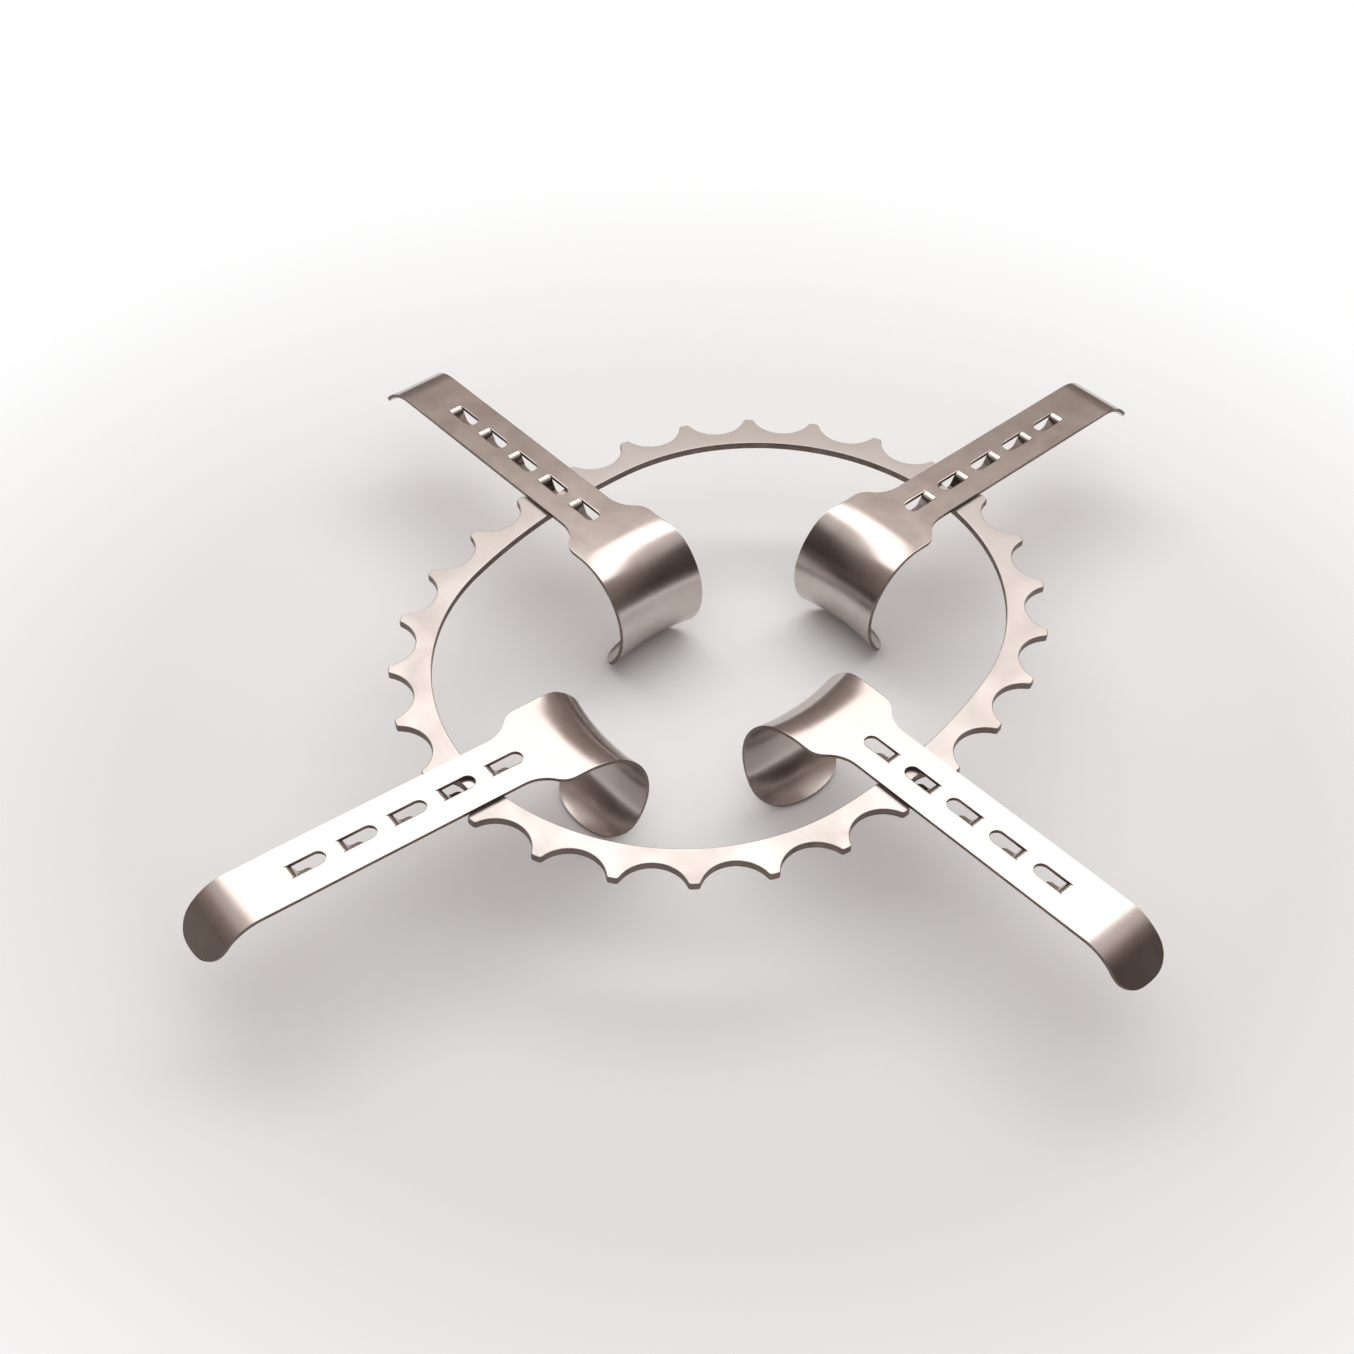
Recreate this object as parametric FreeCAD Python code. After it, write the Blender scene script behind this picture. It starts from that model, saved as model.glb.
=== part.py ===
import FreeCAD, Part
import math
import os

# Hook-on ring retractor for abdominal surgery: a flat oval ring with round notches all round its outer
# edge, and four one-piece sheet blades that lie on it and hook over its edge from above.
# Millimetres and degrees. The origin is the middle of the ring's opening, on the ring's underside.
# The ring is longest along Y. Each blade is modelled pointing along +X with the bottom of its notch at
# X = 0, and is then turned and moved to its notch.

# Ring: its opening is an oval of four tangent arcs
opening_half_length = 122.4
opening_half_width = 97.0
side_bow = 2.4
ring_thickness = 3.2
root_width = 7.4
tooth_height = 9.1
tooth_count = 28
notch_radius = 12.8
tip_blunting = 1.2

# Blade: sheet, arm and slots
sheet = 1.5
seat_clearance = 0.2
arm_width = 25.0
slot_count = 5
slot_in_use = 1
slot_pitch = 20.6
slot_length = 14.9
slot_width = 6.2
root_to_slot = 3.2

# Blade: hooks, half bowls pressed down at the outer end of each slot
hook_drop = 1.0
hook_blend = 2.0
hook_lean = 18.0
hook_flank = 4.6

# Blade: shoulders and curl
curl_half_width = 20.6
curl_end_half_width = 21.6
shoulder_hollow_radius = 14.0
shoulder_corner_radius = 8.0
slot_to_shoulder = 0.3
shoulder_to_curl = 4.6
curl_radius = 26.0
curl_turn = 162.0
curl_flare = 1.8
curl_straight_share = 0.4
flare_turn = 36.0
flare_steps = 3
tongue_corner_radius = 15.0
tongue_end_radius = 34.0

# Blade: finger grip
slot_to_grip = 25.0
grip_radius = 19.6
grip_turn = 46.0
grip_tail = 11.0
grip_corner_radius = 10.0
grip_end_radius = 30.0

# Each blade's swivel in its notch; the blades follow each other a quarter of the way round, from +X
blade_swivels = {
    "blade_right": -2.9,
    "blade_back": 1.5,
    "blade_left": -3.9,
    "blade_front": -4.2,
}

# The opening's four arcs
end_radius = opening_half_width - side_bow
end_centre = opening_half_length - end_radius
side_radius = (end_centre ** 2 + opening_half_width ** 2 - end_radius ** 2) / (2 * side_bow)
side_centre = side_radius - opening_half_width
arc_limit = math.atan2(end_centre, side_centre)

# Levels and places that several features share
tip_offset = root_width + tooth_height
arm_underside = ring_thickness + seat_clearance
arm_top = arm_underside + sheet
slot_radius = slot_width / 2
first_slot = root_to_slot - slot_in_use * slot_pitch
shoulder_end = first_slot - slot_to_shoulder
grip_start = first_slot + (slot_count - 1) * slot_pitch + slot_to_grip

ORIGIN = FreeCAD.Vector(0, 0, 0)
X_AXIS = FreeCAD.Vector(1, 0, 0)
Y_AXIS = FreeCAD.Vector(0, 1, 0)
Z_AXIS = FreeCAD.Vector(0, 0, 1)


def flat_point(x, y):
    return FreeCAD.Vector(x, y, 0)


def side_point(x, z):
    return FreeCAD.Vector(x, 0, z)


def level_arc(centre, radius, start, stop):
    """Edge along a circle in a level plane, angles in radians."""
    return Part.Arc(Part.Circle(centre, Z_AXIS, radius), start, stop).toShape()


def arc_through(start, middle, stop):
    return Part.Arc(start, middle, stop).toShape()


def corner_arc(centre, start, stop):
    """Edge along the short arc round a centre from one point to another."""
    middle = (start + stop) * 0.5 - centre
    middle.normalize()
    radius = (start - centre).Length
    return Part.Arc(start, centre + middle * radius, stop).toShape()


def oval_face(offset):
    """The opening's outline moved outward by offset, filled."""
    end = end_radius + offset
    side = side_radius + offset
    return Part.Face(Part.Wire([
        level_arc(flat_point(-side_centre, 0), side, -arc_limit, arc_limit),
        level_arc(flat_point(0, end_centre), end, arc_limit, math.pi - arc_limit),
        level_arc(flat_point(side_centre, 0), side, math.pi - arc_limit, math.pi + arc_limit),
        level_arc(flat_point(0, -end_centre), end, math.pi + arc_limit, 2 * math.pi - arc_limit),
    ]))


def oval_direction(share):
    """Direction square to the oval, in radians, at a share of the way round the tooth tips from +X."""
    quarters = (share % 1.0) * 4
    quadrant = int(quarters)
    along = quarters - quadrant
    if quadrant % 2:
        along = 1 - along
    side_length = (side_radius + tip_offset) * arc_limit
    end_length = (end_radius + tip_offset) * (math.pi / 2 - arc_limit)
    length = along * (side_length + end_length)
    if length < side_length:
        angle = length / (side_radius + tip_offset)
    else:
        angle = arc_limit + (length - side_length) / (end_radius + tip_offset)
    return [angle, math.pi - angle, math.pi + angle, -angle][quadrant]


def oval_point(angle, offset):
    """Point at offset outside the opening, where the oval faces the given direction."""
    x, y = math.cos(angle), math.sin(angle)
    if abs(y) < math.sin(arc_limit):
        radius = side_radius + offset
        return flat_point(radius * x - math.copysign(side_centre, x), radius * y)
    radius = end_radius + offset
    return flat_point(radius * x, radius * y + math.copysign(end_centre, y))


def notch_direction(share):
    """Direction of the notch half a tooth before the tooth at share."""
    return oval_direction(share - 0.5 / tooth_count)


def tip_corner(notch, tooth):
    """A circle that touches a tooth's tip and its hollow: its direction on the oval and its centre."""
    hollow = oval_point(notch, root_width + notch_radius)
    near, far = notch, tooth
    for _ in range(40):
        middle = (near + far) / 2
        centre = oval_point(middle, tip_offset - tip_blunting)
        if (centre - hollow).Length < notch_radius + tip_blunting:
            near = middle
        else:
            far = middle
    return middle, centre


def tooth_edges(index):
    """One tooth's outline from notch bottom to notch bottom: hollow, blunted corner, tip, corner, hollow."""
    tooth = 2 * math.pi * index / tooth_count
    tooth = nearest_turn(oval_direction(index / tooth_count), tooth)
    notches = [nearest_turn(notch_direction(number / tooth_count), tooth) for number in (index, index + 1)]
    sides = []
    for notch in notches:
        hollow = oval_point(notch, root_width + notch_radius)
        direction, centre = tip_corner(notch, tooth)
        toward = (hollow - centre).normalize()
        meet = centre + toward * tip_blunting
        root = oval_point(notch, root_width)
        tip = oval_point(direction, tip_offset)
        sides.append((corner_arc(hollow, root, meet), Part.makeLine(meet, tip), tip))
    tip_edge = arc_through(sides[0][2], oval_point(tooth, tip_offset), sides[1][2])
    return [sides[0][0], sides[0][1], tip_edge, sides[1][1], sides[1][0]]


def nearest_turn(angle, near):
    """The angle with whole turns added or taken off, so that it lies nearest to another."""
    return angle + 2 * math.pi * round((near - angle) / (2 * math.pi))


def make_ring():
    """Oval plate with round notches between blunt teeth."""
    edges = [edge for index in range(tooth_count) for edge in tooth_edges(index)]
    outside = Part.Face(Part.Wire(Part.__sortEdges__(edges)))
    return outside.cut(oval_face(0)).extrude(Z_AXIS * ring_thickness)


def make_arm():
    """Flat sheet of the arm from the curl to the grip, with the shoulders as tangent arcs."""
    narrow = arm_width / 2
    wide = curl_half_width
    hollow = shoulder_hollow_radius
    corner = shoulder_corner_radius
    tilt = math.acos((hollow + corner - wide + narrow) / (hollow + corner))
    corner_start = shoulder_end - (hollow + corner) * math.sin(tilt)
    curl_start = corner_start - shoulder_to_curl
    half = [
        Part.makeLine(flat_point(curl_start, wide), flat_point(corner_start, wide)),
        level_arc(flat_point(corner_start, wide - corner), corner, math.pi / 2 - tilt, math.pi / 2),
        level_arc(flat_point(shoulder_end, narrow + hollow), hollow, 1.5 * math.pi - tilt, 1.5 * math.pi),
        Part.makeLine(flat_point(shoulder_end, narrow), flat_point(grip_start, narrow)),
    ]
    ends = [
        Part.makeLine(flat_point(grip_start, narrow), flat_point(grip_start, -narrow)),
        Part.makeLine(flat_point(curl_start, -wide), flat_point(curl_start, wide)),
    ]
    edges = half + ends + [edge.mirror(ORIGIN, Y_AXIS) for edge in half]
    plate = Part.Face(Part.Wire(Part.__sortEdges__(edges))).extrude(Z_AXIS * sheet)
    plate.translate(Z_AXIS * arm_underside)
    return plate, curl_start


def smooth_step(value):
    value = min(max(value, 0.0), 1.0)
    return value * value * (3 - 2 * value)


def curl_section(start, turn):
    """Closed section of the curl at a turn in degrees: straight in the middle, both rims flared outward."""
    share = smooth_step(turn / flare_turn)
    half = curl_half_width + (curl_end_half_width - curl_half_width) * share
    outward = side_point(-math.sin(math.radians(turn)), math.cos(math.radians(turn)))
    centre = side_point(start, arm_top - curl_radius)
    across = Y_AXIS * half

    def skin(radius):
        rim = centre + outward * (radius + curl_flare * share)
        flat = centre + outward * radius
        return [rim - across, flat - across * curl_straight_share, flat + across * curl_straight_share,
                rim + across]

    outer = skin(curl_radius)
    inner = skin(curl_radius - sheet)
    return Part.makePolygon(outer + inner[::-1] + outer[:1])


def end_trimmer(half, corner, end, height):
    """What a rounded end takes off a strip: its tip is at the origin and the strip lies towards +X."""
    reach = math.sqrt((end - corner) ** 2 - (half - corner) ** 2)
    corner_x = end - reach
    meet = math.atan2(half - corner, -reach)
    outline = Part.Face(Part.Wire([
        level_arc(flat_point(corner_x, half - corner), corner, math.pi / 2, meet),
        level_arc(flat_point(end, 0), end, meet, 2 * math.pi - meet),
        level_arc(flat_point(corner_x, corner - half), corner, -meet, -math.pi / 2),
        Part.makeLine(flat_point(corner_x, -half), flat_point(corner_x, half)),
    ]))
    block = Part.makeBox(corner_x + sheet, 4 * half, height, FreeCAD.Vector(-sheet, -2 * half, 0))
    return block.cut(outline.extrude(Z_AXIS * height)), corner_x


def make_curl(start):
    """Curled blade with flared rims and a rounded tongue."""
    turns = [flare_turn * index / flare_steps for index in range(flare_steps + 1)]
    ramp = Part.makeLoft([curl_section(start, turn) for turn in turns], True, True)
    centre = side_point(start, arm_top - curl_radius)
    saddle = Part.Face(curl_section(start, flare_turn)).revolve(centre, Y_AXIS * -1, curl_turn - flare_turn)
    curl = ramp.fuse(saddle)
    trimmer, depth = end_trimmer(curl_end_half_width, tongue_corner_radius, tongue_end_radius, curl_radius)
    half_turn = math.degrees(depth / 2 / curl_radius)
    trimmer.translate(side_point(-curl_radius * math.sin(math.radians(half_turn)), curl_radius / 2))
    trimmer.rotate(ORIGIN, Y_AXIS, half_turn - curl_turn)
    trimmer.translate(side_point(start, arm_top - curl_radius))
    return curl.cut(trimmer)


def make_grip():
    """Finger grip: the arm's outer end bent down, then straight, with a rounded end."""
    half = arm_width / 2
    centre = side_point(grip_start, arm_top - grip_radius)
    outward = side_point(math.sin(math.radians(grip_turn)), math.cos(math.radians(grip_turn)))
    along = side_point(outward.z, -outward.x)
    inner_radius = grip_radius - sheet
    top = [centre + Z_AXIS * grip_radius, centre + outward * grip_radius]
    under = [centre + Z_AXIS * inner_radius, centre + outward * inner_radius]
    profile = Part.Face(Part.Wire([
        corner_arc(centre, top[0], top[1]),
        Part.makeLine(top[1], top[1] + along * grip_tail),
        Part.makeLine(top[1] + along * grip_tail, under[1] + along * grip_tail),
        Part.makeLine(under[1] + along * grip_tail, under[1]),
        corner_arc(centre, under[1], under[0]),
        Part.makeLine(under[0], top[0]),
    ]))
    grip = profile.extrude(Y_AXIS * arm_width)
    grip.translate(Y_AXIS * -half)
    trimmer, depth = end_trimmer(half, grip_corner_radius, grip_end_radius, 3 * sheet)
    trimmer.translate(Z_AXIS * -sheet)
    trimmer.rotate(ORIGIN, Y_AXIS, 180 + grip_turn)
    trimmer.translate(top[1] + along * grip_tail)
    return grip.cut(trimmer)


def hook_section():
    """Section of a hook's wall: over the rounded edge, drawn as one flat, and down the leaning wall."""
    lean = math.radians(hook_lean)
    facing = side_point(-math.cos(lean), math.sin(lean))
    centre = side_point(slot_radius + hook_blend, arm_top - hook_blend)
    front = centre + facing * hook_blend
    back = front - facing * sheet

    def on_wall(point, height):
        return side_point(point.x + (height - point.z) * math.tan(lean), height)

    return Part.Face(Part.makePolygon([
        centre + Z_AXIS * hook_blend,
        front,
        on_wall(front, -hook_drop),
        on_wall(back, -hook_drop),
        on_wall(back, arm_underside),
        side_point(centre.x, arm_underside),
        centre + Z_AXIS * hook_blend,
    ]))


def make_hook():
    """Half bowl round the Z axis, open towards -X, with flanks that fade out along the slot."""
    profile = hook_section()
    profile.rotate(ORIGIN, Z_AXIS, -90)
    bowl = profile.revolve(ORIGIN, Z_AXIS, 180)
    flank = profile.extrude(X_AXIS * -hook_flank)
    hook = bowl.fuse([flank, flank.mirror(ORIGIN, Y_AXIS)])
    below = -hook_drop - sheet
    front = Part.Face(Part.makePolygon([
        side_point(-hook_flank, arm_underside),
        side_point(0, -hook_drop),
        side_point(0, below),
        side_point(-hook_flank - sheet, below),
        side_point(-hook_flank - sheet, arm_underside),
        side_point(-hook_flank, arm_underside),
    ])).extrude(Y_AXIS * arm_width)
    front.translate(Y_AXIS * (-arm_width / 2))
    return hook.cut(front).removeSplitter()


def make_slot():
    """What one slot and its hook take out of the sheet, round the same Z axis as the hook."""
    straight = slot_length - slot_width
    collar = slot_radius + hook_blend
    below = FreeCAD.Vector(0, 0, arm_underside)
    bowl = Part.makeCylinder(collar, sheet, below, Z_AXIS, 180)
    bowl.rotate(ORIGIN, Z_AXIS, -90)
    flanks = Part.makeBox(hook_flank, 2 * collar, sheet, below + FreeCAD.Vector(-hook_flank, -collar, 0))
    slot = Part.makeBox(straight, slot_width, sheet, below + FreeCAD.Vector(-straight, -slot_radius, 0))
    slot_end = Part.makeCylinder(slot_radius, sheet, below + X_AXIS * -straight, Z_AXIS)
    return bowl.fuse([flanks, slot, slot_end])


def make_blade():
    """One blade along +X, with the bottom of its notch at X = 0."""
    arm, curl_start = make_arm()
    hook_places = [first_slot + index * slot_pitch + slot_length / 2 - slot_radius
                   for index in range(slot_count)]
    slot = make_slot()
    hook = make_hook()
    arm = arm.cut([slot.translated(X_AXIS * place) for place in hook_places])
    hooks = [hook.translated(X_AXIS * place) for place in hook_places]
    return arm.fuse(hooks + [make_curl(curl_start), make_grip()]).removeSplitter().Solids[0]


def place_blade(blade, share, swivel):
    """The blade turned and moved to the notch before the tooth at share."""
    direction = notch_direction(share)
    placed = blade.copy()
    placed.rotate(ORIGIN, Z_AXIS, math.degrees(direction) + swivel)
    placed.translate(oval_point(direction, root_width))
    return placed


os.makedirs("parts", exist_ok=True)
make_ring().exportStep("parts/ring_frame.step")
straight_blade = make_blade()
for index, (name, swivel) in enumerate(blade_swivels.items()):
    placed_blade = place_blade(straight_blade, index / len(blade_swivels), swivel)
    placed_blade.exportStep(f"parts/{name}.step")
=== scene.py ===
# %% [markdown]
# # A hook-on ring retractor on a pale table
# The instrument is five pieces of stainless steel: a flat oval ring with notches all round its outer edge,
# and four sheet blades that lie on it and hook over it from above. This lesson builds the ring as a plate cut
# to an outline, and the blade as a press shop makes it: a flat blank is pierced, pressed and then rolled.
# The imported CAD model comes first, because every piece takes its place and its motion from it.

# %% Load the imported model
import bpy
import bmesh
import math
from mathutils import Matrix, Vector


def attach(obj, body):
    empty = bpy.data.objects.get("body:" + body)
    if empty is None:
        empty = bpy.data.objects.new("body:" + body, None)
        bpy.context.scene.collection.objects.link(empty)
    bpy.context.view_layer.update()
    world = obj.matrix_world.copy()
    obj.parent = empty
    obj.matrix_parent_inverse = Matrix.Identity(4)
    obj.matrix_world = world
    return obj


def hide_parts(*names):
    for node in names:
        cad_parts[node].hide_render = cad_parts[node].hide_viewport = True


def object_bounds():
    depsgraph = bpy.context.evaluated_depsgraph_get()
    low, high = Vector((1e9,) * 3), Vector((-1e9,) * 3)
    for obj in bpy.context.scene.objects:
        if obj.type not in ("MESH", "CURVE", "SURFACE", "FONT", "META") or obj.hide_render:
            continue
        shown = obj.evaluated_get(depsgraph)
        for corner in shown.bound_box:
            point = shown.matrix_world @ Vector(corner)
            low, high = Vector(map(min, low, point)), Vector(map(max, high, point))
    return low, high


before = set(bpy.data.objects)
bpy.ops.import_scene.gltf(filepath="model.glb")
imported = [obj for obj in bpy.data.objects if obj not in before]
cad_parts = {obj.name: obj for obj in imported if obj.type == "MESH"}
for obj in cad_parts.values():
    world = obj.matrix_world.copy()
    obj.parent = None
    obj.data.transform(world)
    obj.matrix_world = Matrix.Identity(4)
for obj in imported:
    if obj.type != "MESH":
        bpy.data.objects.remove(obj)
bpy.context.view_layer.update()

MM = 0.001

# %% [markdown]
# ## The oval
# The ring's opening is an oval of four tangent arcs, two flat ones at the sides and two round ones at the ends.
# A scaled circle would be simpler, but its width would change round the ring. Here every outline is a
# distance measured square to the oval, so the ring keeps its width everywhere, as one milled from plate does.

# %% The oval's sizes, in millimetres
opening_half_length = 122.4
opening_half_width = 97.0
side_bow = 2.4
end_radius = opening_half_width - side_bow
end_centre = opening_half_length - end_radius
side_radius = (end_centre ** 2 + opening_half_width ** 2 - end_radius ** 2) / (2 * side_bow)
side_centre = side_radius - opening_half_width
arc_limit = math.atan2(end_centre, side_centre)
print("arcs of radius", round(end_radius, 1), "and", round(side_radius, 1),
      "meet at", round(math.degrees(arc_limit), 1), "degrees")


# %% A point at a distance outside the oval, and the way the oval faces there
def oval_point(facing, offset):
    across, along = math.cos(facing), math.sin(facing)
    if abs(along) < math.sin(arc_limit):
        radius = side_radius + offset
        return Vector((radius * across - math.copysign(side_centre, across), radius * along))
    radius = end_radius + offset
    return Vector((radius * across, radius * along + math.copysign(end_centre, along)))


def oval_facing(point):
    from_side = Vector((point.x + math.copysign(side_centre, point.x), point.y))
    if abs(from_side.y) < math.sin(arc_limit) * from_side.length:
        return math.atan2(from_side.y, from_side.x)
    return math.atan2(point.y - math.copysign(end_centre, point.y), point.x)


print("the end lies at", tuple(round(value, 1) for value in oval_point(math.pi / 2, 0)))

# %% [markdown]
# ## The teeth
# The outer edge is 28 round notches with a blunt tooth between each two. The notches are spread evenly along
# the edge. They could be cut with 28 cylinders and a Boolean, but that leaves slivers where a bevel has to run.
# It is cleaner to move a circle's points onto the outline: round the hollow, round the corner, over the tip.

# %% The teeth's sizes and places
tooth_count = 28
root_width = 7.4
tooth_height = 9.1
notch_radius = 13.4
tip_rounding = 1.2
tip_offset = root_width + tooth_height
side_length = (side_radius + tip_offset) * arc_limit
end_length = (end_radius + tip_offset) * (math.pi / 2 - arc_limit)


def facing_at(share):
    """The way the oval faces at a share of the way round the tooth tips from +X."""
    quadrant, along = divmod((share % 1.0) * 4, 1)
    length = (1 - along if quadrant % 2 else along) * (side_length + end_length)
    if length < side_length:
        angle = length / (side_radius + tip_offset)
    else:
        angle = arc_limit + (length - side_length) / (end_radius + tip_offset)
    return [angle, math.pi - angle, math.pi + angle, -angle][int(quadrant)]


print("notches stand", round(4 * (side_length + end_length) / tooth_count, 1), "mm apart at the tips")


# %% One side of a tooth, from the notch's bottom to the tip
hollow_steps = 9
corner_steps = 3
halvings = 40


def short_arc(centre, start, stop, steps):
    """Points along the short arc round a centre, without the last."""
    first, last = start - centre, stop - centre
    turn = math.atan2(first.cross(last), first.dot(last))
    return [centre + Matrix.Rotation(turn * step / steps, 2) @ first for step in range(steps)]


def tooth_side(notch_share, tooth_share):
    """Hollow and rounded corner; the corner's circle touches both the hollow and the tip line."""
    hollow = oval_point(facing_at(notch_share), root_width + notch_radius)
    near, far = notch_share, tooth_share
    for _ in range(halvings):
        middle = (near + far) / 2
        centre = oval_point(facing_at(middle), tip_offset - tip_rounding)
        if (centre - hollow).length < notch_radius + tip_rounding:
            near = middle
        else:
            far = middle
    meet = centre + (hollow - centre).normalized() * tip_rounding
    tip = oval_point(facing_at(middle), tip_offset)
    root = oval_point(facing_at(notch_share), root_width)
    return short_arc(hollow, root, meet, hollow_steps) + short_arc(centre, meet, tip, corner_steps) + [tip]


# %% The whole outline
ring_outline = []
for index in range(tooth_count):
    tooth = index / tooth_count
    rising = tooth_side(tooth - 0.5 / tooth_count, tooth)
    falling = tooth_side(tooth + 0.5 / tooth_count, tooth)
    ring_outline += rising + [oval_point(facing_at(tooth), tip_offset)] + falling[:0:-1]
opening_outline = [oval_point(oval_facing(point), 0) for point in ring_outline]
print(len(ring_outline), "points round the ring")

# %% [markdown]
# ## The ring
# Two circles take the two outlines, a bridge fills the flat face between them, and an extrusion gives the
# plate's thickness. The real edges are tumbled soft, which shows as a thin bright line, so a real bevel is cut
# along them and not only suggested in the material. Weighted normals keep the faces flat beside it.

# %% Cut the ring from plate
ring_thickness = 3.2
ring_edge_bevel = 0.45
sharp_angle = math.radians(60)


def shade(mesh):
    mesh.polygons.foreach_set("use_smooth", [True] * len(mesh.polygons))
    mesh.update()


def new_piece(name, bm):
    mesh = bpy.data.meshes.new(name)
    bm.to_mesh(mesh)
    bm.free()
    shade(mesh)
    piece = bpy.data.objects.new(name, mesh)
    bpy.context.scene.collection.objects.link(piece)
    return piece


plate = bmesh.new()
for outline in (opening_outline, ring_outline):
    loop = bmesh.ops.create_circle(plate, segments=len(outline), radius=1)["verts"]
    for vert, point in zip(loop, outline):
        vert.co = (point * MM).to_3d()
bmesh.ops.bridge_loops(plate, edges=plate.edges[:])
raised = bmesh.ops.extrude_face_region(plate, geom=plate.faces[:])["geom"]
bmesh.ops.translate(plate, verts=[item for item in raised if isinstance(item, bmesh.types.BMVert)],
                    vec=(0, 0, ring_thickness * MM))
bmesh.ops.recalc_face_normals(plate, faces=plate.faces[:])
rims = [edge for edge in plate.edges if edge.calc_face_angle(0) > sharp_angle]
bmesh.ops.bevel(plate, geom=rims, affect="EDGES", offset=ring_edge_bevel * MM, segments=3, profile=0.5, material=-1)
ring = new_piece("notched_ring", plate)
ring.modifiers.new("flat faces", "WEIGHTED_NORMAL").keep_sharp = True
print("ring", len(ring.data.polygons), "faces,", len(rims), "rim edges bevelled")

# %% [markdown]
# ## The blade's blank
# A blade starts as a flat strip with an arm, two shoulders and a wide tongue. It is described by a place along
# the strip and a place across it, and it keeps both as its UV map, so polishing marks can later follow the
# steel round its bends. Lengths along the bends are measured on the outer skin.

# %% The blank's sizes, in millimetres: 0 lies over the notch's bottom, + is outward
sheet = 1.5
seat_gap = 0.2
arm_top = ring_thickness + seat_gap + sheet
arm_half_width = 12.5

slot_radius = 3.1
slot_pitch = 20.6
slot_length = 14.9
slot_count = 5
hooked_middle = 3.2
slot_middles = [hooked_middle + slot_pitch * (index - 1) for index in range(slot_count)]

slot_to_shoulder = 0.3
shoulder_end = slot_middles[0] - slot_to_shoulder
shoulder_hollow = 14.0
shoulder_corner = 8.0
shoulder_to_curl = 4.6

curl_half_width = 20.6
curl_end_half_width = 21.6
curl_radius = 26.0
curl_turn, flare_turn = math.radians(162), math.radians(36)
curl_length = curl_radius * curl_turn
flare_length = curl_radius * flare_turn

slot_to_grip = 25
grip_start = slot_middles[-1] + slot_to_grip
grip_radius = 19.6
grip_turn = math.radians(46)
grip_bend = grip_radius * grip_turn
grip_tail = 11.0
grip_length = grip_bend + grip_tail
shoulder_tilt = math.acos((shoulder_hollow + shoulder_corner - curl_half_width + arm_half_width)
                          / (shoulder_hollow + shoulder_corner))
corner_start = shoulder_end - (shoulder_hollow + shoulder_corner) * math.sin(shoulder_tilt)
curl_start = corner_start - shoulder_to_curl
print("the blank runs from", round(curl_start - curl_length, 1), "to", round(grip_start + grip_length, 1))


# %% Half the strip's width at a place along it
def smooth_step(value):
    value = min(max(value, 0.0), 1.0)
    return value * value * (3 - 2 * value)


def half_width(place):
    if place > shoulder_end:
        return arm_half_width
    if place > shoulder_end - shoulder_hollow * math.sin(shoulder_tilt):
        return arm_half_width + shoulder_hollow - math.sqrt(shoulder_hollow ** 2 - (shoulder_end - place) ** 2)
    if place > corner_start:
        return curl_half_width - shoulder_corner + math.sqrt(shoulder_corner ** 2 - (place - corner_start) ** 2)
    widening = smooth_step((curl_start - place) / flare_length)
    return curl_half_width + (curl_end_half_width - curl_half_width) * widening


print("half widths", [round(half_width(place), 1) for place in (-90, -40, -30, -20, 0)])


# %% How far a rounded end falls back from its tip, at a place across it
def end_fall(across, half, corner, crown):
    """A shallow arc over the middle and a tighter one at each side, tangent to each other."""
    reach = math.sqrt((crown - corner) ** 2 - (half - corner) ** 2)
    if abs(across) < crown * (half - corner) / (crown - corner):
        return crown - math.sqrt(crown ** 2 - across ** 2)
    return crown - reach - math.sqrt(max(corner ** 2 - (abs(across) - half + corner) ** 2, 0.0))


tongue_fall = [15.0, 34.0]
grip_fall = [10.0, 30.0]
print("the tongue's corners fall back", round(end_fall(curl_end_half_width, curl_end_half_width, *tongue_fall), 1))

# %% [markdown]
# ## Columns and rows
# The blank is a set of grids. Their columns crowd towards the sides, because the rounded ends are steepest
# there, and every grid uses the same columns, so that neighbours share their points and merge. The rows of an
# end grid run into its curve, which keeps the outline smooth without any cutting.

# %% Grids between the slots and the ends
column_count = 20
columns = [math.sin(math.pi * (index / column_count - 0.5)) for index in range(column_count + 1)]
blank = bmesh.new()


def add_strip(bm, row_places):
    """A grid whose rows lie at the places that row_places gives for each share across."""
    grid = bmesh.ops.create_grid(bm, x_segments=column_count, y_segments=len(row_places) - 1, size=1)["verts"]
    for index, vert in enumerate(grid):
        row, column = divmod(index, column_count + 1)
        place, half = row_places[row](columns[column])
        vert.co = (place, half * columns[column], 0)


def straight_row(place):
    return lambda share: (place, half_width(place))


def end_row(step, base, tip, half, fall):
    """Row of a rounded end: at step 0 it is straight, at step 1 it is the end itself."""
    direction = math.copysign(1, tip - base)
    return lambda share: (base + (tip - direction * end_fall(share * half, half, *fall) - base) * step, half)


tongue_end_length = 28
tongue_tip = curl_start - curl_length
tongue_base = tongue_tip + tongue_end_length
cell_start = slot_middles[0] - slot_pitch / 2
cell_stop = slot_middles[-1] + slot_pitch / 2
last_bent_length = 6
grip_base = grip_start + grip_bend - last_bent_length
tongue_rows, grip_rows = 24, 18
add_strip(blank, [end_row(1 - step / tongue_rows, tongue_base, tongue_tip, curl_end_half_width, tongue_fall)
                  for step in range(tongue_rows + 1)])
for start, stop, rows in [(tongue_base, curl_start, 40), (curl_start, cell_start, 12),
                          (cell_stop, grip_start, 8), (grip_start, grip_base, 10)]:
    add_strip(blank, [straight_row(start + (stop - start) * step / rows) for step in range(rows + 1)])
add_strip(blank, [end_row(step / grip_rows, grip_base, grip_start + grip_length, arm_half_width, grip_fall)
                  for step in range(grip_rows + 1)])
print("grids hold", len(blank.verts), "points")

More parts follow.
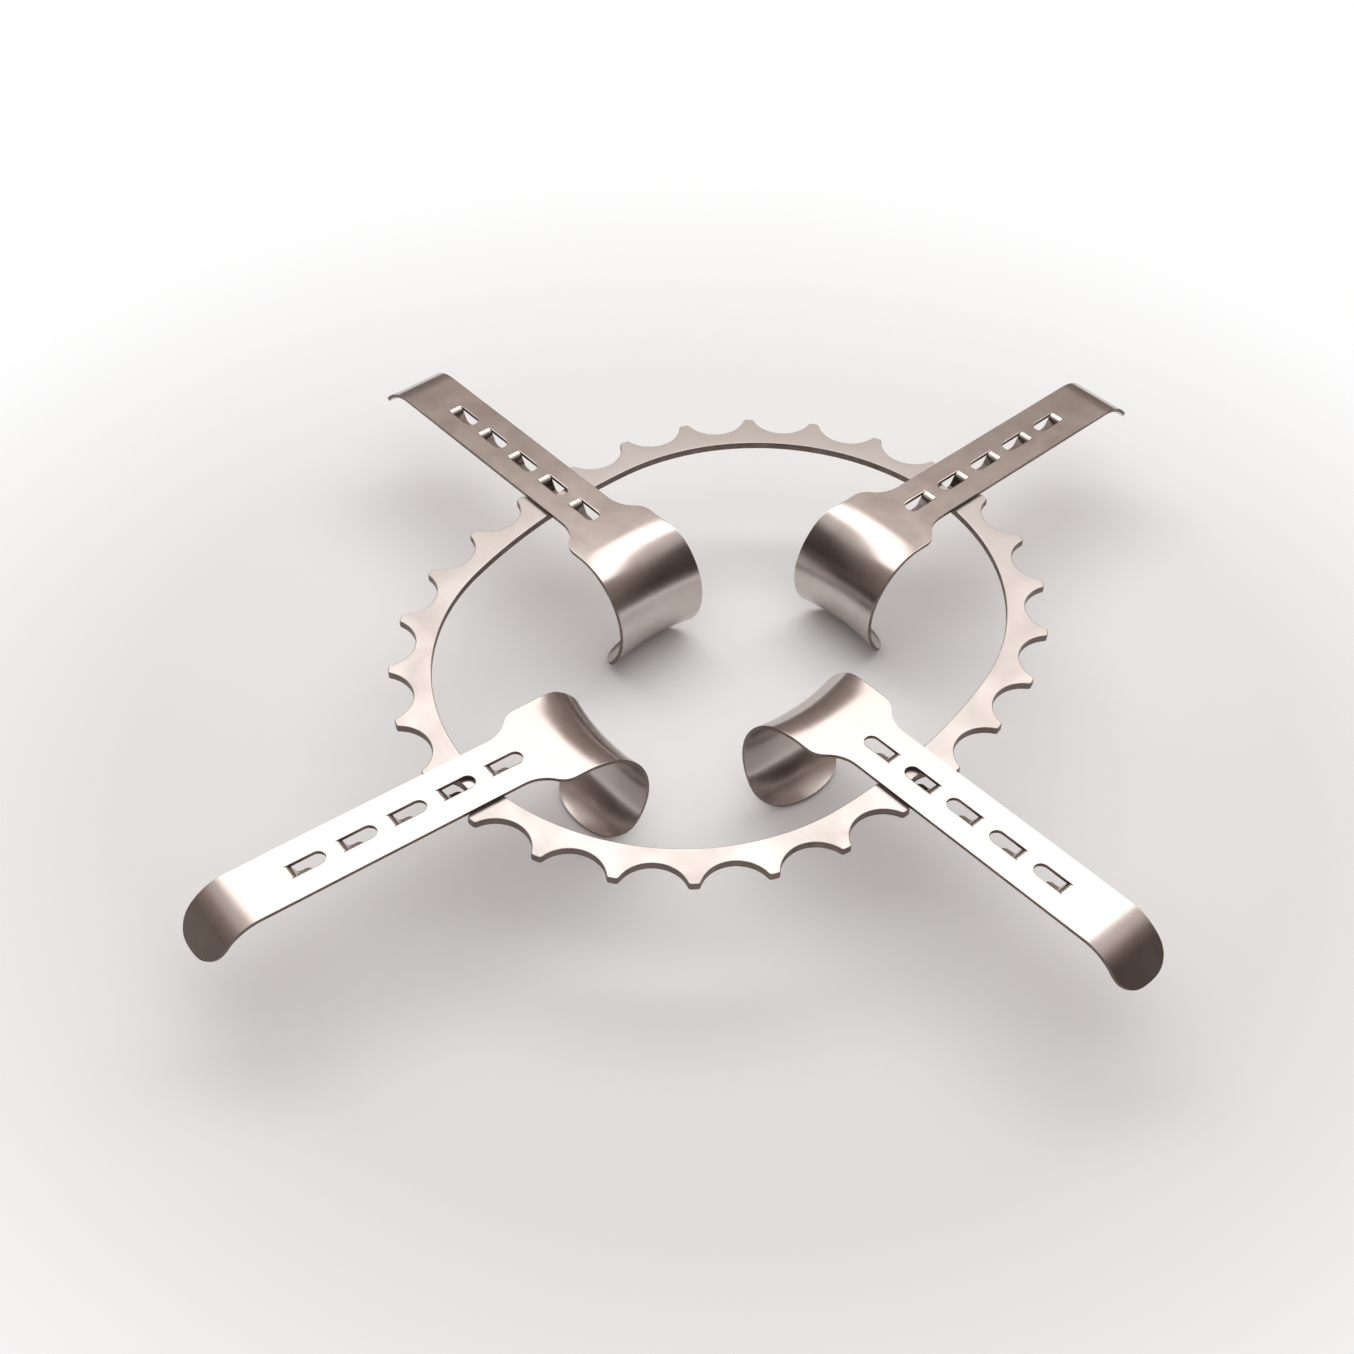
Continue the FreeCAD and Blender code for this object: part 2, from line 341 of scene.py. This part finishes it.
# %% [markdown]
# ## The slots
# Each slot sits in its own rectangle of the arm. Its edge starts as a circle of points moved to the slot's
# outline, and that edge is extruded outward ring by ring until it lies on the rectangle. The slot is round at
# its inner end and square at its outer end, where its hook is hinged.

# %% Where a rectangle's points and a slot's points lie
rows_per_cell = 14
hinge_steps = 6
slit = 0.3
hook_half_width = slot_radius - slit
outer_shares = [0.0, 0.05, 0.15, 0.3, 0.5, 0.75, 1.0]


def cell_border(middle):
    """The rectangle's points, once round from the middle of its outer side."""
    low, high = middle - slot_pitch / 2, middle + slot_pitch / 2
    sides = [low + slot_pitch * step / rows_per_cell for step in range(rows_per_cell)]
    border = [Vector((high, half_width(high) * share, 0)) for share in columns[column_count // 2:-1]]
    border += [Vector((high + low - place, half_width(high + low - place), 0)) for place in sides]
    border += [Vector((low, half_width(low) * share, 0)) for share in columns[:0:-1]]
    border += [Vector((place, -half_width(place), 0)) for place in sides]
    border += [Vector((high, half_width(high) * share, 0)) for share in columns[:column_count // 2]]
    return border


def slot_edge(middle, count):
    """The slot's points, once round from the middle of its outer end."""
    hinge = middle + slot_length / 2
    across = [hook_half_width * math.sin(math.pi / 2 * step / hinge_steps) for step in range(hinge_steps + 1)]
    across.append(slot_radius)
    straight = slot_length - slot_radius
    way_round = 2 * straight + math.pi * slot_radius
    rest = count - 2 * len(across) + 1
    around = []
    for step in range(1, rest + 1):
        run = way_round * step / (rest + 1)
        turn = min(max((run - straight) / slot_radius, 0), math.pi)
        along = run if run < straight else max(way_round - run, 0) if turn == math.pi else straight
        around.append(Vector((hinge - along - slot_radius * math.sin(turn), slot_radius * math.cos(turn), 0)))
    return ([Vector((hinge, place, 0)) for place in across] + around
            + [Vector((hinge, -place, 0)) for place in across[:0:-1]])


print(len(cell_border(slot_middles[0])), "points round a slot")

# %% Grow each slot's edge out to its rectangle
tongue_layer = blank.verts.layers.float_vector.new("tongue")


def grow(edges, verts):
    """Extrudes the edges and gives the new ones with the new points in the order of the old."""
    grown = bmesh.ops.extrude_edge_only(blank, edges=edges)["geom"]
    fresh = {tuple(vert.co): vert for vert in grown if isinstance(vert, bmesh.types.BMVert)}
    new_edges = [item for item in grown if isinstance(item, bmesh.types.BMEdge)
                 and all(vert in grown for vert in item.verts)]
    return new_edges, [fresh[tuple(vert.co)] for vert in verts]


hinge_rows = []
for middle in slot_middles:
    border = cell_border(middle)
    edge_points = slot_edge(middle, len(border))
    loop = bmesh.ops.create_circle(blank, segments=len(border), radius=1)["verts"]
    hinge_rows.append((middle, loop[-hinge_steps:] + loop[:hinge_steps + 1]))
    loop_edges = [blank.edges.get((loop[index - 1], loop[index])) for index in range(len(loop))]
    for step, share in enumerate(outer_shares):
        if step:
            loop_edges, loop = grow(loop_edges, loop)
        for vert, edge, corner in zip(loop, edge_points, border):
            vert.co = edge.lerp(corner, share)
print("pierced blank:", len(blank.verts), "points,", len(blank.faces), "faces")

# %% [markdown]
# ## The hooks
# Each hook is a tongue of the same sheet. The press cuts it free inside the slot and leaves it joined at the
# slot's outer end, so in the flat blank it is simply a strip that grows inward from that end, narrower than the
# slot by a slit on each side. Every point keeps its distance from the hinge, which the press will need.

# %% Grow a tongue inward from each slot's outer end
hook_turn = math.radians(62)
bend_radius = 3.4
hook_leg = 3.0
foot_radius = 2.4
tongue_length = 13.0
tongue_end_fall = [2.4, 3.6]
bend_length = bend_radius * hook_turn
foot_start = bend_length + hook_leg + foot_radius * hook_turn
bend_rows, leg_rows, tip_rows = 8, 9, 10
row_runs = [bend_length * step / bend_rows for step in range(1, bend_rows + 1)]
row_runs += [bend_length + (foot_start - bend_length) * step / leg_rows for step in range(1, leg_rows + 1)]
for middle, row in hinge_rows:
    hinge = middle + slot_length / 2
    row_edges = [blank.edges.get(pair) for pair in zip(row, row[1:])]
    for step in range(len(row_runs) + tip_rows):
        row_edges, row = grow(row_edges, row)
        for vert in row:
            if step < len(row_runs):
                run = row_runs[step]
            else:
                tip = tongue_length - end_fall(vert.co.y, hook_half_width, *tongue_end_fall)
                run = foot_start + (tip - foot_start) * (step + 1 - len(row_runs)) / tip_rows
            vert.co.x = hinge - run
            vert[tongue_layer] = (run, hinge, 0)
merge_distance = 0.01
bmesh.ops.remove_doubles(blank, verts=blank.verts[:], dist=merge_distance)
print("tongues are", tongue_length, "mm long in slots of", slot_length)

# %% Keep the flat blank as the UV map, in metres
blank_map = blank.loops.layers.uv.new("blank")
for face in blank.faces:
    for corner in face.loops:
        corner[blank_map].uv = corner.vert.co.xy * MM
print("UV map", blank_map.name)

# %% [markdown]
# ## The press
# The press bends each tongue down and then level, which makes a hook that catches at the ring's edge. Each point
# knows its distance from the hinge, so a short formula lays it along the hook's side view: a bend, a straight
# leg, a second bend and a level foot. Everything else is only lifted to the arm's height.

# %% Press the hooks
def hook_side_view(run):
    """How far inward and how far down a point of the tongue lies, by its distance from the hinge."""
    turn = min(run / bend_radius, hook_turn)
    inward, down = bend_radius * math.sin(turn), bend_radius * (1 - math.cos(turn))
    leg = min(max(run - bend_length, 0), hook_leg)
    inward += leg * math.cos(hook_turn)
    down += leg * math.sin(hook_turn)
    bent = min(max(run - bend_length - leg, 0) / foot_radius, hook_turn)
    left = hook_turn - bent
    inward += foot_radius * (math.sin(hook_turn) - math.sin(left)) + max(run - foot_start, 0)
    down += foot_radius * (math.cos(left) - math.cos(hook_turn))
    return inward, down


for vert in blank.verts:
    run, hinge, _ = vert[tongue_layer]
    inward, down = hook_side_view(run)
    if run:
        vert.co.x = hinge - inward
    vert.co.z = arm_top - down
print("hooks reach down to", round(min(vert.co.z for vert in blank.verts), 2))

# %% [markdown]
# ## The rolls
# Both ends are then rolled. The wide end turns through nearly half a circle with its rims flared outward,
# which keeps them from cutting the tissue, and the other end turns down into a finger grip. Each roll moves a
# point along an arc by its own distance past the start, so no length is lost and the UV map stays true.

# %% Roll the curl and the grip
curl_flare = 1.8


def roll_curl(place, across):
    turn = (curl_start - place) / curl_radius
    flare = curl_flare * smooth_step((curl_start - place) / flare_length) * (across / curl_half_width) ** 2
    radius = curl_radius + flare
    return Vector((curl_start - radius * math.sin(turn), across, arm_top - curl_radius + radius * math.cos(turn)))


def roll_grip(place, across):
    bent = min(place - grip_start, grip_bend)
    turn = bent / grip_radius
    tail = place - grip_start - bent
    return Vector((grip_start + grip_radius * math.sin(turn) + tail * math.cos(turn), across,
                   arm_top - grip_radius * (1 - math.cos(turn)) - tail * math.sin(turn)))


for vert in blank.verts:
    if vert.co.x < curl_start:
        vert.co = roll_curl(vert.co.x, vert.co.y)
    elif vert.co.x > grip_start:
        vert.co = roll_grip(vert.co.x, vert.co.y)
bmesh.ops.recalc_face_normals(blank, faces=blank.faces[:])
top_face = max(blank.faces, key=lambda face: face.calc_center_median().z + abs(face.normal.z))
if top_face.normal.z < 0:
    bmesh.ops.reverse_faces(blank, faces=blank.faces[:])
bmesh.ops.scale(blank, vec=(MM, MM, MM), verts=blank.verts[:])
print("blade skin:", len(blank.faces), "faces")

# %% [markdown]
# ## Four blades
# All four blades are the same pressing, so one mesh is copied and each copy is turned and moved to its notch.
# The move goes into the mesh, and the object stays at the origin like the CAD nodes. Solidify gives the sheet
# its thickness inward from the outer skin, and Bevel breaks the edges as the polishing wheel does.

# %% Place the blades on the ring
blade_skin = bpy.data.meshes.new("blade_skin")
blank.to_mesh(blade_skin)
blank.free()
edge_rounding = 0.32
swivels = {"blade_right": -2.9, "blade_back": 1.5, "blade_left": -3.9, "blade_front": -4.2}
blades = {}
for index, (body, swivel) in enumerate(swivels.items()):
    facing = facing_at(index / 4 - 0.5 / tooth_count)
    root = oval_point(facing, root_width) * MM
    mesh = blade_skin.copy()
    mesh.name = body + "_skin"
    mesh.transform(Matrix.Translation(root.to_3d()) @ Matrix.Rotation(facing + math.radians(swivel), 4, "Z"))
    shade(mesh)
    piece = bpy.data.objects.new("curled_" + body, mesh)
    bpy.context.scene.collection.objects.link(piece)
    solid = piece.modifiers.new("sheet", "SOLIDIFY")
    solid.thickness = sheet * MM
    solid.offset = -1
    solid.use_even_offset = True
    solid.use_quality_normals = True
    # The rims go to the second slot, the cut edge that carries painted shade.
    solid.material_offset_rim = 1
    rounding = piece.modifiers.new("broken edges", "BEVEL")
    rounding.width = edge_rounding * MM
    rounding.segments = 2
    rounding.limit_method = "ANGLE"
    rounding.angle_limit = sharp_angle
    piece.modifiers.new("smooth skin", "WEIGHTED_NORMAL").keep_sharp = True
    blades[body] = piece
print("blades", list(blades))

# %% [markdown]
# ## Finishes
# All the finishes are bare stainless steel, so the metallic value is one and the colour is what it reflects.
# What tells them apart is the polish, and the cut edges' dark colour, which is painted shade. Two small node groups
# make the patterns: soft cloudy mottling, which every finish has, and fine streaks left by the polishing belt,
# which only the blades have.


# %% Helpers for node groups
def node(tree, kind, inputs=(), **settings):
    made = tree.nodes.new(kind)
    for key, value in settings.items():
        setattr(made, key, value)
    for key, value in dict(inputs).items():
        if isinstance(value, bpy.types.NodeSocket):
            tree.links.new(value, made.inputs[key])
        else:
            made.inputs[key].default_value = value
    return made


def new_group(name, inputs, outputs):
    group = bpy.data.node_groups.new(name, "ShaderNodeTree")
    for label, kind, value in inputs:
        socket = group.interface.new_socket(label, in_out="INPUT", socket_type=kind)
        if value is not None:
            socket.default_value = value
    for label, kind in outputs:
        group.interface.new_socket(label, in_out="OUTPUT", socket_type=kind)
    return group, group.nodes.new("NodeGroupInput"), group.nodes.new("NodeGroupOutput")


print("helpers ready")

# %% Cloudy mottling
mottling, given, result = new_group(
    "cloudy_mottling",
    [("Vector", "NodeSocketVector", None), ("Size", "NodeSocketFloat", 60.0),
     ("Fine size", "NodeSocketFloat", 900.0)],
    [("Clouds", "NodeSocketFloat"), ("Grain", "NodeSocketFloat")])
clouds = node(mottling, "ShaderNodeTexNoise", {"Vector": given.outputs["Vector"], "Scale": given.outputs["Size"],
                                              "Detail": 4.0, "Roughness": 0.55, "Distortion": 0.4})
grain = node(mottling, "ShaderNodeTexNoise", {"Vector": given.outputs["Vector"],
                                             "Scale": given.outputs["Fine size"],
                                             "Detail": 2.0, "Roughness": 0.6})
mottling.links.new(clouds.outputs["Fac"], result.inputs["Clouds"])
mottling.links.new(grain.outputs["Fac"], result.inputs["Grain"])
print("group", mottling.name)

# %% Polishing streaks
streaking, given, result = new_group(
    "polishing_streaks",
    [("Vector", "NodeSocketVector", None), ("Fineness", "NodeSocketFloat", 1500.0),
     ("Length", "NodeSocketFloat", 0.02)],
    [("Streaks", "NodeSocketFloat")])
squeeze = node(streaking, "ShaderNodeCombineXYZ", {"X": given.outputs["Length"], "Y": 1.0, "Z": 1.0})
stretched = node(streaking, "ShaderNodeVectorMath", {0: given.outputs["Vector"], 1: squeeze.outputs[0]},
                 operation="MULTIPLY")
streaks = node(streaking, "ShaderNodeTexNoise", {"Vector": stretched.outputs[0],
                                                "Scale": given.outputs["Fineness"],
                                                "Detail": 3.0, "Roughness": 0.7})
streaking.links.new(streaks.outputs["Fac"], result.inputs["Streaks"])
print("group", streaking.name)

# %% [markdown]
# ## The satin ring
# The ring is blasted and tumbled, which leaves a soft satin with faint clouds and tiny pits. The clouds shift
# the colour and the roughness a little, and the grain goes to a shallow bump. All three finishes begin as the
# same mottled steel, so a function makes what they share.


# %% Helpers for materials
def new_material(name):
    material = bpy.data.materials.new(name)
    material.use_nodes = True
    return material, material.node_tree, material.node_tree.nodes["Principled BSDF"]


def place_group(tree, group, vector, **values):
    placed = node(tree, "ShaderNodeGroup", node_tree=group)
    tree.links.new(vector, placed.inputs["Vector"])
    for label, value in values.items():
        placed.inputs[label.replace("_", " ")].default_value = value
    return placed


def remap(tree, value, low, high, start=0.3, stop=0.7):
    return node(tree, "ShaderNodeMapRange", {"Value": value, "From Min": start, "From Max": stop,
                                             "To Min": low, "To Max": high}).outputs["Result"]


def colour_mix(tree, factor):
    """A node that mixes two colours, as its two colour inputs and its colour output."""
    mixed = node(tree, "ShaderNodeMix", {"Factor": factor}, data_type="RGBA")
    first, second = [socket for socket in mixed.inputs if socket.type == "RGBA"]
    return first, second, next(socket for socket in mixed.outputs if socket.type == "RGBA")


def mottled_steel(name, size, fine_size, dark, light):
    """Bare steel whose colour drifts between two values with the clouds."""
    material, tree, steel = new_material(name)
    place = node(tree, "ShaderNodeTexCoord").outputs["Object"]
    mottle = place_group(tree, mottling, place, Size=size, Fine_size=fine_size)
    steel.inputs["Metallic"].default_value = 1.0
    first, second, colour = colour_mix(tree, remap(tree, mottle.outputs["Clouds"], low=0.0, high=1.0))
    first.default_value, second.default_value = (*dark, 1), (*light, 1)
    tree.links.new(colour, steel.inputs["Base Color"])
    return material, tree, steel, mottle


def add_bump(tree, steel, height, strength, distance):
    bump = node(tree, "ShaderNodeBump", {"Height": height, "Strength": strength, "Distance": distance})
    tree.links.new(bump.outputs["Normal"], steel.inputs["Normal"])


print("material helpers ready")

# %% Satin steel
satin, tree, steel, mottle = mottled_steel("satin_steel", size=45.0, fine_size=1400.0,
                                           dark=(0.555, 0.505, 0.477), light=(0.635, 0.587, 0.56))
tree.links.new(remap(tree, mottle.outputs["Clouds"], low=0.40, high=0.30), steel.inputs["Roughness"])
add_bump(tree, steel, mottle.outputs["Grain"], strength=0.12, distance=0.0001)
print("material", satin.name)

# %% [markdown]
# ## The polished blades
# The blades are polished nearly to a mirror after pressing. The belt runs along the strip, so the streaks read
# the flat blank's UV map and follow the steel round its bends. They are so fine that they only soften the
# reflections lengthways and shift the roughness slightly.

# %% Polished steel
polished, tree, steel, mottle = mottled_steel("polished_steel", size=70.0, fine_size=2500.0,
                                              dark=(0.53, 0.468, 0.437), light=(0.59, 0.528, 0.495))
flat_blank = node(tree, "ShaderNodeUVMap", uv_map="blank").outputs["UV"]
streak = place_group(tree, streaking, flat_blank, Fineness=2600.0, Length=0.015)
haze = node(tree, "ShaderNodeMath", {0: remap(tree, mottle.outputs["Clouds"], low=-0.02, high=0.02),
                                     1: remap(tree, streak.outputs["Streaks"], low=0.18, high=0.24)},
            operation="ADD")
tree.links.new(haze.outputs[0], steel.inputs["Roughness"])
add_bump(tree, steel, streak.outputs["Streaks"], strength=0.04, distance=0.00005)
print("material", polished.name)

# %% [markdown]
# ## Cut edges, darkened with painted shade
# The sheet and the plate are cut, and their cut edges are tumbled but never polished, so they stay matt. Their dark
# colour is painted shade that makes them look darker than the faces. On the ring they are the upright faces; on the
# blades they are the rim faces that Solidify makes, which its rim material offset sends to the second material
# slot.

# %% Cut edge of the steel, dark with painted shade
# The dark colours are painted shade on the edges; the matt roughness and the grain are the real cut finish.
painted_shade_cut_edge, tree, steel, mottle = mottled_steel("painted_shade_cut_edge", size=200.0, fine_size=2500.0,
                                              dark=(0.17, 0.135, 0.118), light=(0.23, 0.185, 0.165))
tree.links.new(remap(tree, mottle.outputs["Clouds"], low=0.5, high=0.4), steel.inputs["Roughness"])
add_bump(tree, steel, mottle.outputs["Grain"], strength=0.1, distance=0.00005)
print("material", painted_shade_cut_edge.name)

# %% [markdown]
# ## Hand the pieces to the frame
# Each new piece rides on the body that it belongs to, stands in for the CAD node of that body, and names the
# finish that it takes. The CAD nodes stay in the physics model.

# %% Ride, replace and name the finish
upright_limit = 0.3
ring.data.materials.append(satin)
ring.data.materials.append(painted_shade_cut_edge)
# Upright faces take the cut edge, so the ring's sides get painted shade.
for face in ring.data.polygons:
    face.material_index = int(abs(face.normal.z) < upright_limit)
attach(ring, "ring")
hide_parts("ring_frame")
for body, piece in blades.items():
    piece.data.materials.append(polished)
    # The second slot is the cut edge, with painted shade on the rims.
    piece.data.materials.append(painted_shade_cut_edge)
    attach(piece, body)
    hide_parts(body)
for name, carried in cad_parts.items():
    finish = satin if name == "ring_frame" else polished
    for slot in carried.material_slots:
        slot.material = finish

# %% [markdown]
# ## The camera
# The photograph looks down at about 45 degrees, along a line between two of the blades. The angles were found
# by fitting a camera to the tips of the teeth. The camera's axes are worked out from the three angles and
# written straight into its matrix, which avoids aiming it by hand.

# %% Camera at the photograph's angle
view_azimuth, view_elevation, view_roll = math.radians(40.4), math.radians(44.78), math.radians(1.84)
camera_right, camera_up, camera_back = -18.67, -18.18, 814.0
photo_pixels, focal_pixels, sensor_width = 1354, 2063.3, 36
away = Vector((-math.sin(view_azimuth), math.cos(view_azimuth), 0))
sideways = Vector((math.cos(view_azimuth), math.sin(view_azimuth), 0))
back = Vector((0, 0, math.sin(view_elevation))) - away * math.cos(view_elevation)
level_up = back.cross(sideways)
right = sideways * math.cos(view_roll) + level_up * math.sin(view_roll)
up = level_up * math.cos(view_roll) - sideways * math.sin(view_roll)
camera = bpy.data.objects.new("camera", bpy.data.cameras.new("camera"))
bpy.context.scene.collection.objects.link(camera)
camera_place = (right * camera_right + up * camera_up + back * camera_back) * MM
camera_axes = Matrix((right, up, back)).transposed().to_4x4()
camera.matrix_world = Matrix.Translation(camera_place) @ camera_axes
camera.data.sensor_width = sensor_width
camera.data.lens = sensor_width * focal_pixels / photo_pixels
camera.data.clip_start, camera.data.clip_end = 0.01, 100
bpy.context.scene.camera = camera
print("lens", round(camera.data.lens, 1))

# %% [markdown]
# ## The studio
# Polished steel shows its surroundings, so the studio is what gives it form. One large soft box hangs
# overhead, a fainter one keeps the floor level and doesn't show in the steel, the wall behind is a dim warm
# grey, and the side behind the camera is dark. The floor is a plain pale sheet that lies just under the lowest
# point of the blades. Away from the instrument's shadow the sheet turns to an even white, for what is seen
# directly and in the steel alike, while the light that it throws back stays the same.

# %% Floor
floor_radius, floor_gap = 2.4, 0.0004
shadow_reach, white_from = 0.24, 0.42
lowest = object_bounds()[0].z
floor_bm = bmesh.new()
bmesh.ops.create_circle(floor_bm, cap_ends=True, segments=96, radius=floor_radius)
bmesh.ops.translate(floor_bm, verts=floor_bm.verts[:], vec=(0, 0, lowest - floor_gap))
floor = new_piece("floor", floor_bm)
pale, tree, paint = new_material("pale_floor")
paint.inputs["Base Color"].default_value = (0.96, 0.972, 0.985, 1)
paint.inputs["Roughness"].default_value = 0.9
paint.inputs["Specular IOR Level"].default_value = 0.1
place = node(tree, "ShaderNodeTexCoord").outputs["Object"]
distance = node(tree, "ShaderNodeVectorMath", {0: place}, operation="LENGTH").outputs["Value"]
rays = node(tree, "ShaderNodeLightPath")
seen = node(tree, "ShaderNodeMath", {0: rays.outputs["Is Camera Ray"], 1: rays.outputs["Is Glossy Ray"]},
            operation="MAXIMUM")
seen = node(tree, "ShaderNodeMath", {0: seen.outputs[0], 1: rays.outputs["Is Transmission Ray"]},
            operation="MAXIMUM")
far = remap(tree, distance, low=0.0, high=1.0, start=shadow_reach, stop=white_from)
whiten = node(tree, "ShaderNodeMath", {0: seen.outputs[0], 1: far}, operation="MULTIPLY")
white = node(tree, "ShaderNodeEmission", {"Color": (1, 1, 1, 1), "Strength": 1.0})
sheet_look = node(tree, "ShaderNodeMixShader", {0: whiten.outputs[0], 1: paint.outputs[0], 2: white.outputs[0]})
tree.links.new(sheet_look.outputs[0], tree.nodes["Material Output"].inputs["Surface"])
floor.data.materials.append(pale)
print("floor at", round(lowest * 1000, 1), "mm")


# %% Soft boxes
level_axes = Matrix((sideways, away, Vector((0, 0, 1)))).transposed().to_4x4()


def soft_box(name, width, length, radiance, colour, depth, height):
    """A level lamp at a height above the ring, moved away from the camera by a depth."""
    lamp = bpy.data.lights.new(name, "AREA")
    lamp.shape = "RECTANGLE"
    lamp.size, lamp.size_y = width, length
    lamp.energy = radiance * math.pi * width * length
    lamp.color = colour
    holder = bpy.data.objects.new(name, lamp)
    bpy.context.scene.collection.objects.link(holder)
    holder.matrix_world = Matrix.Translation(away * depth + Vector((0, 0, height))) @ level_axes
    holder.visible_camera = False
    return holder


overhead = soft_box("overhead_box", width=1.5, length=0.56, radiance=1.72, colour=(1.0, 0.99, 0.98),
                    depth=0.60, height=0.8)
fill = soft_box("floor_fill", width=1.8, length=1.2, radiance=0.55, colour=(1.0, 1.0, 1.0),
                depth=-0.6, height=1.0)
fill.visible_glossy = False
print("lamps", overhead.name, fill.name)

# %% Room round the table
world = bpy.data.worlds.new("studio_room")
bpy.context.scene.world = world
world.use_nodes = True
tree = world.node_tree
sky = tree.nodes["Background"]
look = node(tree, "ShaderNodeTexCoord").outputs["Generated"]
height = node(tree, "ShaderNodeSeparateXYZ", {"Vector": look}).outputs["Z"]
depth = node(tree, "ShaderNodeVectorMath", {0: look, 1: away}, operation="DOT_PRODUCT").outputs["Value"]


def ramp(tree, factor, stops):
    made = node(tree, "ShaderNodeValToRGB", {"Fac": factor})
    while len(made.color_ramp.elements) < len(stops):
        made.color_ramp.elements.new(0.5)
    for element, (position, colour) in zip(made.color_ramp.elements, stops):
        element.position = position
        element.color = (*colour, 1)
    return made.outputs["Color"]


wall = ramp(tree, height, [(0.0, (0.05, 0.04, 0.035)), (0.04, (0.20, 0.165, 0.15)), (0.6, (0.42, 0.35, 0.32)),
                           (0.76, (0.85, 0.8, 0.77)), (1.0, (0.9, 0.86, 0.84))])
front = ramp(tree, height, [(0.0, (0.22, 0.19, 0.175)), (0.25, (0.06, 0.045, 0.04)), (0.75, (0.12, 0.1, 0.09)),
                            (1.0, (0.9, 0.86, 0.84))])
side = remap(tree, depth, low=0.0, high=1.0, start=-0.25, stop=0.25)
front_colour, wall_colour, room = colour_mix(tree, side)
tree.links.new(front, front_colour)
tree.links.new(wall, wall_colour)
tree.links.new(room, sky.inputs["Color"])
sky.inputs["Strength"].default_value = 1.0
bpy.context.scene.view_settings.view_transform = "Standard"
print("world", world.name)
